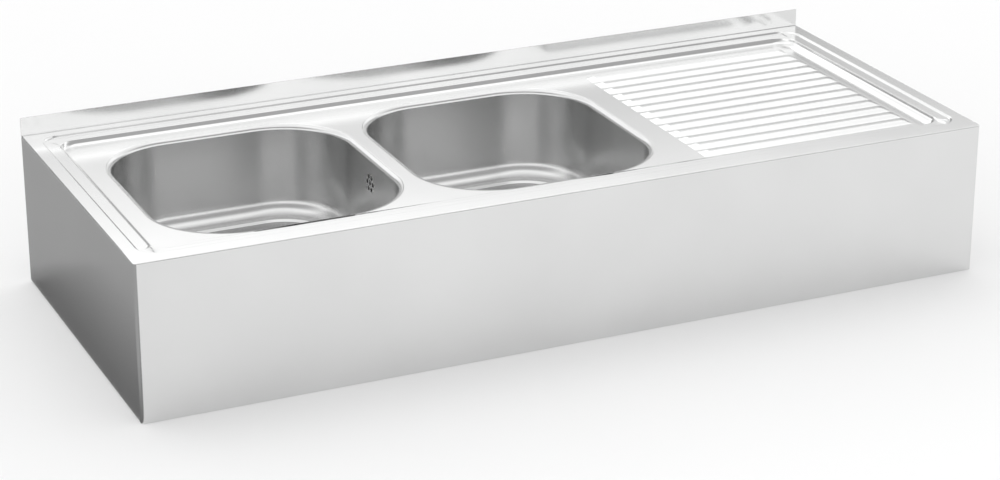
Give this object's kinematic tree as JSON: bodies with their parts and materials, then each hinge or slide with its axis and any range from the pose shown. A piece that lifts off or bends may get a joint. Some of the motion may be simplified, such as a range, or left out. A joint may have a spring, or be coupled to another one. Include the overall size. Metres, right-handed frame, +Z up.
{
  "type": "two bowl sink with drainer",
  "caption": "Stainless sink unit: deep bowls and a ribbed drainer pressed in one deck with a rear upstand, on a folded skirt, with wastes, overflows and lift-out basket strainers.",
  "frame": {"origin": "middle of the footprint, on the floor", "axes": "+X to the right, towards the drainer; +Y to the back, towards the wall; +Z up"},
  "size_m": [1.2, 0.5, 0.237],
  "materials": {
    "pressed_steel": "satin",
    "bowl_steel": "satin",
    "skirt_steel": "fine brushed",
    "frame_steel": "mill",
    "polished_steel": "polished",
    "black_rubber": "matte",
    "white_plastic": "matte",
    "damping_pad": "matte"
  },
  "bodies": {
    "sink": {"deck": "pressed_steel", "front_apron": "skirt_steel", "side_panel_left": "skirt_steel", "side_panel_right": "skirt_steel", "rear_top_rail": "frame_steel", "rear_foot_rail": "frame_steel", "drainer_channel_1": "frame_steel", "drainer_channel_2": "frame_steel", "gusset_front_left": "frame_steel", "gusset_front_right": "frame_steel", "gusset_rear_left": "frame_steel", "gusset_rear_right": "frame_steel", "bowl_left": "bowl_steel", "damping_pad_left": "damping_pad", "strainer_body_left": "polished_steel", "flange_gasket_left": "black_rubber", "under_gasket_left": "black_rubber", "lock_nut_left": "white_plastic", "outlet_tail_left": "white_plastic", "slip_nut_left": "white_plastic", "overflow_gasket_left": "black_rubber", "overflow_cover_left": "white_plastic", "overflow_pipe_left": "white_plastic", "bowl_right": "bowl_steel", "damping_pad_right": "damping_pad", "strainer_body_right": "polished_steel", "flange_gasket_right": "black_rubber", "under_gasket_right": "black_rubber", "lock_nut_right": "white_plastic", "outlet_tail_right": "white_plastic", "slip_nut_right": "white_plastic", "overflow_gasket_right": "black_rubber", "overflow_cover_right": "white_plastic", "overflow_pipe_right": "white_plastic"},
    "strainer_left": {"basket_left": "polished_steel", "basket_post_left": "polished_steel", "basket_stopper_left": "black_rubber"},
    "strainer_right": {"basket_right": "polished_steel", "basket_post_right": "polished_steel", "basket_stopper_right": "black_rubber"}
  },
  "joints": [
    {"name": "basket_left_lift", "type": "slide", "parent": "sink", "child": "strainer_left", "axis": [0, 0, 1], "range_m": [0, 0.12]},
    {"name": "basket_right_lift", "type": "slide", "parent": "sink", "child": "strainer_right", "axis": [0, 0, 1], "range_m": [0, 0.12]}
  ]
}
